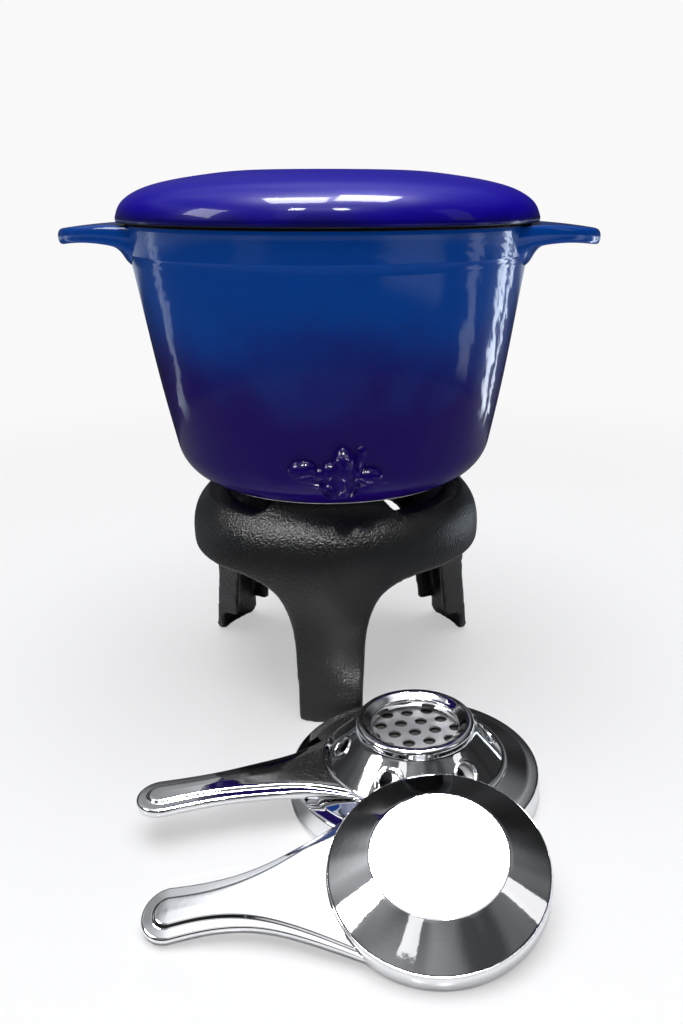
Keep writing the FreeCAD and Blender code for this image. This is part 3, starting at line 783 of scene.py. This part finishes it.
def cone_point(slant, azimuth, lift=0.0):
    """Point on the regulator's cone, in millimetres.

    slant runs from 0 at the foot to 1 at the neck, and lift stands out from
    the cone's face."""
    run = CONE_TOP - CONE_FOOT
    across = np.array([run[1], -run[0]]) / np.linalg.norm(run)
    r = CONE_FOOT[0] + run[0] * slant + across[0] * lift
    z = CONE_FOOT[1] + run[1] * slant + across[1] * lift
    x = r * np.cos(azimuth)
    y = r * np.sin(azimuth)
    return np.stack([x, y, np.broadcast_to(z, x.shape)], axis=-1)


def square_outline(count):
    """Evenly spaced points round a unit square, count to a side, closed."""
    side = np.linspace(-1, 1, count + 1)[:-1]
    one = np.ones(count)
    x = np.concatenate([one, -side, -one, side, [1.0]])
    y = np.concatenate([side, one, -side, -one, [-1.0]])
    return x, y


def hole_grid(sizes, azimuth, half, count):
    """Part of the cone round one air hole.

    Rings spread from the hole's rolled lip to a four-sided patch whose edge
    points match the plain stretches beside it."""
    run = CONE_TOP - CONE_FOOT
    slope = np.linalg.norm(run)
    middle = (HOLE_HEIGHT - CONE_FOOT[1]) / run[1]
    x, y = square_outline(count)
    edge_turn = x * half
    edge_slant = 0.5 + 0.5 * y
    radius = CONE_FOOT[0] + run[0] * middle
    angle = np.arctan2((edge_slant - middle) * slope, edge_turn * radius)
    hole = sizes.hole / MM
    rings = []
    for spread, lift in ((-0.05, -0.5), (0.0, 0.1), (0.15, 0.5), (0.5, 0.7), (0.9, 0.5),
                         (1.3, 0.12), (1.7, 0.0)):
        rho = hole + spread
        rings.append(cone_point(middle + rho * np.sin(angle) / slope,
                                azimuth + rho * np.cos(angle) / radius, lift))
    last_slant = middle + rho * np.sin(angle) / slope
    last_turn = rho * np.cos(angle) / radius
    for share in (0.25, 0.5, 0.75, 1.0):
        rings.append(cone_point(last_slant + (edge_slant - last_slant) * share,
                                azimuth + last_turn + (edge_turn - last_turn) * share))
    return np.array(rings)


def regulator_grids(sizes):
    """Outer face of the regulator: foot, pierced cone, neck and rolled mouth."""
    step = math.radians(2)
    sector = 2 * math.pi / sizes.holes
    half = step * CONE_ROWS / 2
    mouth = sizes.mouth / MM
    grids = []
    for i in range(sizes.holes):
        azimuth = FIRST_HOLE + i * sector
        grids.append(hole_grid(sizes, azimuth, half, CONE_ROWS))
        between = np.arange(azimuth + half, azimuth + sector - half + step / 2, step)
        slant = np.linspace(0, 1, CONE_ROWS + 1)[:, None]
        grids.append(cone_point(slant, between + 0 * slant))
    azimuths = FIRST_HOLE - half + np.arange(0, 181) * step
    foot = rounded([(41.7, 16.4, 0), (41.7, 17.4, 0.4), (*CONE_FOOT, 0)])
    neck = rounded([(*CONE_TOP, 0), (26.4, 31.8, 0.5), (26.7, mouth - 1.2, 0.6),
                    (25.6, mouth, 0.9), (23.4, mouth, 0.7), (20.9, mouth - 1.7, 0.6),
                    (19.6, mouth - 2.4, 0.7), (19.5, mouth - 5.6, 0)])
    grids.append(turned_grid(foot, azimuths))
    grids.append(turned_grid(neck, azimuths))
    return [grid * MM for grid in grids]


def add_sheet(piece, thickness):
    """Gives an open surface its sheet thickness, inwards."""
    solid = piece.modifiers.new("Sheet", "SOLIDIFY")
    solid.thickness = thickness
    solid.offset = -1


class FONDUE_OT_burner(bpy.types.Operator):
    """Build the burner's base and dress the parts inside it"""

    bl_idname = "fondue.burner"
    bl_label = "Burner"

    def execute(self, context):
        sizes = context.scene.fondue_burner
        bright = polished_steel(sizes)
        satin = satin_steel(sizes)
        grid = turned_grid(base_profile(sizes), full_turn(240)) + burner_middle()
        mesh_piece("burner_pressing", [grid], "burner", bright, ["burner_base"])
        # The fibre pad's near-black tone is painted shade inside the burner.
        for name, finish in (("fuel_cup", satin), ("burner_screen", satin), ("air_collar", satin),
                             ("fuel_wool", wool_with_painted_shade())):
            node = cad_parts[name]
            node.data.materials.clear()
            node.data.materials.append(finish)
        return {"FINISHED"}


# ---- handles --------------------------------------------------------------
def handle_width(x, root_radius, root_half, reach, half):
    """Half width of a pressed handle along its length, in millimetres."""
    start = math.sqrt(root_radius ** 2 - root_half ** 2)
    flare = curve_through([(start, root_half), (root_radius + 10, 0.62 * root_half),
                           (root_radius + 27, half + 1.6), (root_radius + 48, half - 0.6),
                           (reach - half, half)], 90)
    return np.interp(x, flare[:, 0], flare[:, 1])


def handle_grid(root_radius, root_half, reach, rise, half=10.6, edge=3.4):
    """Pressed handle: rings that follow its outline inwards, each at its own height.

    The outer rings roll down over the edge, a flat border follows, and a
    step lifts the middle panel.  The root hugs a circle."""
    start = math.sqrt(root_radius ** 2 - root_half ** 2)
    s = np.linspace(0, 1, 64)
    x = start + (reach - half - start) * s
    side = np.stack([x, handle_width(x, root_radius, root_half, reach, half)], axis=-1)
    spine = np.stack([root_radius + (reach - half - root_radius) * s, 0 * s], axis=-1)
    turn = np.linspace(QUARTER, -QUARTER, 41)
    nose = np.stack([reach - half + half * np.cos(turn), half * np.sin(turn)], axis=-1)
    outline = np.concatenate([side, nose[1:-1], side[::-1] * (1, -1)])
    centre = np.concatenate([spine, np.tile([[reach - half, 0.0]], (39, 1)), spine[::-1]])
    root_share = np.concatenate([1 - s, np.zeros(39), (1 - s)[::-1]]) ** 3
    width = np.linalg.norm(centre - outline, axis=1)
    sagitta = root_radius - math.hypot((start + root_radius) / 2, root_half / 2)
    steps = [(0.0, -edge), (-0.02, -1.6), (0.0, -1.0), (0.25, -0.42), (0.7, -0.1), (1.3, 0.0),
             (3.9, 0.0), (4.4, 0.06), (4.8, 0.35), (5.2, 0.85), (5.6, 1.14), (6.2, 1.2)]
    rows = []
    for inset, height in steps:
        rows.append((np.minimum(inset / width, 1.0), height))
    for share in (0.3, 0.6, 0.85, 1.0):
        base = np.minimum(6.2 / width, 1.0)
        rows.append((base + (1 - base) * share, 1.2 + 0.12 * share))
    curve = curve_through(rise, 80)
    grid = []
    for share, height in rows:
        flat = outline + (centre - outline) * share[:, None]
        bulge = sagitta * 4 * share * (1 - share) * root_share
        away = flat / np.linalg.norm(flat, axis=1)[:, None]
        flat = flat + away * bulge[:, None]
        z = np.interp(flat[:, 0], curve[:, 0], curve[:, 1]) + height
        grid.append(np.column_stack([flat, z]))
    return np.array(grid)


def add_handle(name, node, body, grid, turn, place, material):
    """A pressed handle from its upper face, given its sheet thickness."""
    handle = mesh_piece(name, [moved(grid * MM, turn, place)], body, material,
                        [node], closed=False)
    face_up(handle)
    add_sheet(handle, 1.1 * MM)


class FONDUE_OT_regulator(bpy.types.Operator):
    """Build the regulator's pierced cone and its handle"""

    bl_idname = "fondue.regulator"
    bl_label = "Regulator"

    def execute(self, context):
        sizes = context.scene.fondue_burner
        bright = polished_steel(sizes)
        place = burner_middle()
        grids = [grid + place for grid in regulator_grids(sizes)]
        cone = mesh_piece("regulator_shell", grids, "regulator", bright,
                          ["regulator_cone"], closed=False)
        face_out(cone, place)
        add_sheet(cone, 0.9 * MM)
        low = 16.35
        grid = handle_grid(41.3, 25.0, 123.0, [(20, low + 1.6), (44, low + 1.8), (70, low + 2.2),
                                               (100, low + 2.3), (128, low + 2.0)])
        r = np.hypot(grid[..., 0], grid[..., 1])
        clear = np.interp(r, [42.0, 51.0, 57.9, 58.0], [17.2, 14.2, 13.6, -9.0])
        grid[0, :, 2] = np.maximum(grid[0, :, 2], clear[0])
        grid[1, :, 2] = np.maximum(grid[1, :, 2], clear[1] + 0.1)
        turn = turn_about((0, 0, 1), REGULATOR_TURN)
        add_handle("regulator_grip", "regulator_handle", "regulator", grid, turn, place, bright)
        return {"FINISHED"}


# ---- snuffer --------------------------------------------------------------
def snuffer_place(sizes):
    """Rotation and place of the leaning snuffer: it tips about its front rim."""
    hinge = (-math.sin(SNUFFER_AZIMUTH), math.cos(SNUFFER_AZIMUTH), 0)
    spin = turn_about((0, 0, 1), SNUFFER_AZIMUTH + QUARTER)
    lift = sizes.snuffer_radius * math.sin(sizes.snuffer_lean)
    return turn_about(hinge, sizes.snuffer_lean) @ spin, np.array([*SNUFFER_PLACE, lift])


def cap_profile(sizes):
    """Snuffer cap: beaded rim, short skirt, broad cone and flat disc, as one sheet."""
    r = sizes.snuffer_radius / MM
    outside = rounded([(r - 1.2, 0.05, 0), (r, 0.1, 0.5), (r - 0.1, 7.2, 1.4), (r - 1.2, 8.3, 0.6),
                       (27.0, 16.1, 0.9), (26.0, 16.5, 0.3), (24.0, 16.5, 0), (0, 16.5, 0)])
    inside = rounded([(0, 15.3, 0), (26.2, 15.3, 0.8), (r - 2.4, 7.2, 1.2), (r - 1.2, 5.6, 0.8),
                      (r - 1.2, 0.05, 0)])
    return np.concatenate([outside, inside]) * MM


class FONDUE_OT_snuffer(bpy.types.Operator):
    """Build the snuffer cap and its handle, leaning on the burner"""

    bl_idname = "fondue.snuffer"
    bl_label = "Snuffer"

    def execute(self, context):
        sizes = context.scene.fondue_burner
        bright = polished_steel(sizes)
        turn, place = snuffer_place(sizes)
        grid = moved(turned_grid(cap_profile(sizes), full_turn(240)), turn, place)
        mesh_piece("snuffer_pressing", [grid], "snuffer", bright, ["snuffer_cap"])
        grid = handle_grid(42.6, 30.0, 112.0, [(20, 3.9), (44, 4.0), (70, 3.6), (95, 1.7),
                                               (117, -0.8)])
        turn = turn @ turn_about((0, 0, 1), SNUFFER_HANDLE_TURN)
        add_handle("snuffer_grip", "snuffer_handle", "snuffer", grid, turn, place, bright)
        return {"FINISHED"}


# ---- stage ----------------------------------------------------------------
def studio_world():
    """World: pale to the camera, a room that is lighter at the back for all else."""
    world = bpy.data.worlds.new("Studio")
    bpy.context.scene.world = world
    world.use_nodes = True
    tree = world.node_tree
    tree.nodes.clear()
    way = new_node(tree, "ShaderNodeTexCoord").outputs["Generated"]
    split = new_node(tree, "ShaderNodeSeparateXYZ", {"Vector": way})
    back = smooth_step(tree, split.outputs["Y"], -0.4, 0.35, 0.26, 0.66)
    above = smooth_step(tree, split.outputs["Z"], 0.84, 0.93, 0.0, 1.1)
    right = smooth_step(tree, split.outputs["X"], -0.15, 0.40, 1.0, 0.45)
    low = smooth_step(tree, split.outputs["Z"], 0.40, 0.66, 0.10, 1.0)
    clouds = new_node(tree, "ShaderNodeTexNoise", {"Vector": way, "Scale": 2.6, "Detail": 1.0})
    clouds = smooth_step(tree, clouds.outputs["Fac"], 0.35, 0.62, 0.55, 1.25)
    strength = back
    for share in (right, clouds, low):
        strength = math_node(tree, "MULTIPLY", strength, share)
    strength = math_node(tree, "ADD", strength, above)
    path = new_node(tree, "ShaderNodeLightPath")
    seen = new_node(tree, "ShaderNodeBackground", {"Color": PALE, "Strength": 1.0})
    room = new_node(tree, "ShaderNodeBackground", {"Color": (0.94, 0.965, 1.0, 1),
                                                   "Strength": strength})
    mix = new_node(tree, "ShaderNodeMixShader", {0: path.outputs["Is Camera Ray"],
                                                 1: room.outputs[0], 2: seen.outputs[0]})
    output = new_node(tree, "ShaderNodeOutputWorld")
    tree.links.new(mix.outputs[0], output.inputs["Surface"])


# Lit stretches of the room's floor: direction and half width in degrees,
# nearest distance in metres and brightness.
FLOOR_LIGHTS = ((27, 3.5, 0.40, 9.0), (39, 2.0, 0.40, 5.0), (-2, 4.5, 0.46, 2.2),
                (162, 4.0, 0.40, 1.6), (-42, 16.0, 0.60, 1.1), (-128, 9.0, 0.70, 0.4))


def floor_material(sizes):
    """Pale floor with a faint reflection; mirrors see a darker room on it.

    Away from the middle the camera sees an even pale tone, and glossy
    surfaces see a dark floor with a few lit stretches."""
    material, tree, shader = new_material("Studio floor")
    set_values(shader, {"Base Color": (*sizes.floor_white, 1.0), "Roughness": 0.10,
                        "Specular IOR Level": 0.5})
    place = object_place(tree)
    radius = new_node(tree, "ShaderNodeVectorMath", {0: place}, operation="LENGTH")
    radius = radius.outputs["Value"]
    split = new_node(tree, "ShaderNodeSeparateXYZ", {"Vector": place})
    angle = math_node(tree, "ARCTAN2", split.outputs["Y"], split.outputs["X"])
    grain = add_grain(tree, place, 7.0, 30.0, 0.3)
    waver = math_node(tree, "SUBTRACT", grain.outputs["Height"], 0.5)
    angle = math_node(tree, "MULTIPLY_ADD", waver, 0.5, angle)
    glow = smooth_step(tree, radius, 1.3, 1.9, 0.03, 0.7)
    for direction, spread, start, strength in FLOOR_LIGHTS:
        off = math_node(tree, "SUBTRACT", angle, math.radians(direction))
        off = math_node(tree, "WRAP", off, math.pi, -math.pi)
        off = math_node(tree, "ABSOLUTE", off)
        band = smooth_step(tree, off, math.radians(spread * 0.6), math.radians(spread * 1.4),
                           strength, 0.0)
        band = math_node(tree, "MULTIPLY", band,
                         smooth_step(tree, radius, start, start + 0.08))
        glow = math_node(tree, "ADD", glow, band)
    room = new_node(tree, "ShaderNodeEmission", {"Color": (0.78, 0.88, 1.0, 1),
                                                 "Strength": glow})
    pale = new_node(tree, "ShaderNodeEmission", {"Color": PALE, "Strength": 1.0})
    path = new_node(tree, "ShaderNodeLightPath")
    seen = math_node(tree, "MULTIPLY", path.outputs["Is Camera Ray"],
                     smooth_step(tree, radius, 0.22, 0.80, 0.50, 1.0))
    away = math_node(tree, "MAXIMUM", smooth_step(tree, radius, 0.36, 0.46),
                     smooth_step(tree, path.outputs["Ray Length"], 0.09, 0.17, 0.0, 0.85))
    mirrored = math_node(tree, "MULTIPLY", path.outputs["Is Glossy Ray"], away)
    first = new_node(tree, "ShaderNodeMixShader", {0: seen, 1: shader.outputs[0],
                                                   2: pale.outputs[0]})
    second = new_node(tree, "ShaderNodeMixShader", {0: mirrored, 1: first.outputs[0],
                                                    2: room.outputs[0]})
    output = next(node for node in tree.nodes if node.type == "OUTPUT_MATERIAL")
    tree.links.new(second.outputs[0], output.inputs["Surface"])
    return material


# Area lights: name, place, target, width, height, radiance, whether the light
# falls on matt faces and whether mirrors see it.
SOFTBOXES = (
    ("Fill", (0.0, 0.0, 1.8), (0, 0, 0), 2.0, 2.0, 2.7, True, False),
    ("Left window", (-0.19, 0.10, 1.35), (-0.19, 0.10, 0), 0.34, 0.42, 52, False, True),
    ("Right window", (0.17, 0.26, 1.35), (0.17, 0.26, 0), 0.31, 0.44, 52, False, True),
    ("Left card", (-1.10, -0.38, 1.05), (0, -0.1, 0.1), 0.42, 0.42, 20, False, True),
    ("Left glint", (-0.24, -0.66, 1.3), (0, -0.1, 0.1), 0.13, 0.20, 110, False, True),
    ("Right glint", (0.14, -0.66, 1.3), (0, -0.1, 0.1), 0.13, 0.20, 110, False, True),
    ("Front card", (-0.45, -1.15, 1.25), (0, -0.1, 0.1), 0.30, 0.40, 0.9, False, True),
    ("Right card", (1.3, -0.3, 1.0), (0, -0.1, 0.1), 0.35, 0.7, 1.0, False, True))


def add_softbox(name, place, target, width, height, radiance, diffuse, glossy):
    """An area light that looks at a target."""
    light = bpy.data.lights.new(name, "AREA")
    light.shape = "RECTANGLE"
    light.size = width
    light.size_y = height
    light.energy = radiance * math.pi * width * height
    lamp = bpy.data.objects.new(name, light)
    lamp.location = place
    lamp.rotation_euler = (Vector(target) - Vector(place)).to_track_quat("-Z", "Y").to_euler()
    lamp.visible_diffuse = diffuse
    lamp.visible_glossy = glossy
    lamp.visible_camera = False
    bpy.context.scene.collection.objects.link(lamp)


class FONDUE_OT_stage(bpy.types.Operator):
    """Set up the floor, the soft lights and the camera"""

    bl_idname = "fondue.stage"
    bl_label = "Stage"

    def execute(self, context):
        sizes = context.scene.fondue_stage
        rings = np.array([[0, 0], [0.5, 0], [1.5, 0], [sizes.floor_radius, 0]])
        grid = turned_grid(rings, full_turn(96))
        mesh = bpy.data.meshes.new("studio_floor")
        mesh.from_pydata(grid.reshape(-1, 3).tolist(), [],
                         grid_faces(*grid.shape[:2], 0).tolist())
        mesh.shade_smooth()
        floor = bpy.data.objects.new("studio_floor", mesh)
        mesh.materials.append(floor_material(sizes))
        context.scene.collection.objects.link(floor)
        studio_world()
        for softbox in SOFTBOXES:
            add_softbox(*softbox)
        camera = bpy.data.cameras.new("Camera")
        camera.sensor_width = 36
        camera.lens = camera.sensor_width * FOCAL_SHARE
        camera.shift_x = CAMERA_SHIFT
        camera.clip_start = 0.01
        view = bpy.data.objects.new("Camera", camera)
        view.location = (sizes.camera_side, -sizes.camera_distance, sizes.camera_height)
        view.rotation_euler = (QUARTER - sizes.camera_pitch, 0, 0)
        context.scene.collection.objects.link(view)
        context.scene.camera = view
        context.scene.view_settings.view_transform = "Standard"
        return {"FINISHED"}


# ---- panel and registration ----------------------------------------------
OPERATORS = (FONDUE_OT_pot, FONDUE_OT_lid, FONDUE_OT_stand, FONDUE_OT_burner,
             FONDUE_OT_regulator, FONDUE_OT_snuffer, FONDUE_OT_stage)


class FONDUE_PT_set(bpy.types.Panel):
    """Sidebar panel that lists the set's sizes and pieces"""

    bl_idname = "FONDUE_PT_set"
    bl_label = "Fondue pot set"
    bl_space_type = "VIEW_3D"
    bl_region_type = "UI"
    bl_category = "Fondue"

    def draw(self, context):
        layout = self.layout
        for label in ("fondue_pot", "fondue_stand", "fondue_burner", "fondue_stage"):
            group = getattr(context.scene, label)
            box = layout.box()
            for key in group.bl_rna.properties.keys():
                if key not in ("rna_type", "name"):
                    box.prop(group, key)
        for operator in OPERATORS:
            layout.operator(operator.bl_idname)


GROUPS = {"fondue_pot": PotSizes, "fondue_stand": StandSizes, "fondue_burner": BurnerSizes,
          "fondue_stage": StageSettings}


def register():
    """Registers the classes and hangs the sizes on the scene."""
    for group in GROUPS.values():
        bpy.utils.register_class(group)
    for item in (*OPERATORS, FONDUE_PT_set):
        bpy.utils.register_class(item)
    for label, group in GROUPS.items():
        setattr(bpy.types.Scene, label, PointerProperty(type=group))


def unregister():
    """Takes the classes and the sizes away again."""
    for label in GROUPS:
        delattr(bpy.types.Scene, label)
    for item in (FONDUE_PT_set, *reversed(OPERATORS)):
        bpy.utils.unregister_class(item)
    for group in GROUPS.values():
        bpy.utils.unregister_class(group)


def main():
    """Registers everything and builds the set piece by piece."""
    register()
    for build in (bpy.ops.fondue.pot, bpy.ops.fondue.lid, bpy.ops.fondue.stand,
                  bpy.ops.fondue.burner, bpy.ops.fondue.regulator, bpy.ops.fondue.snuffer,
                  bpy.ops.fondue.stage):
        build()


if __name__ == "__main__":
    main()
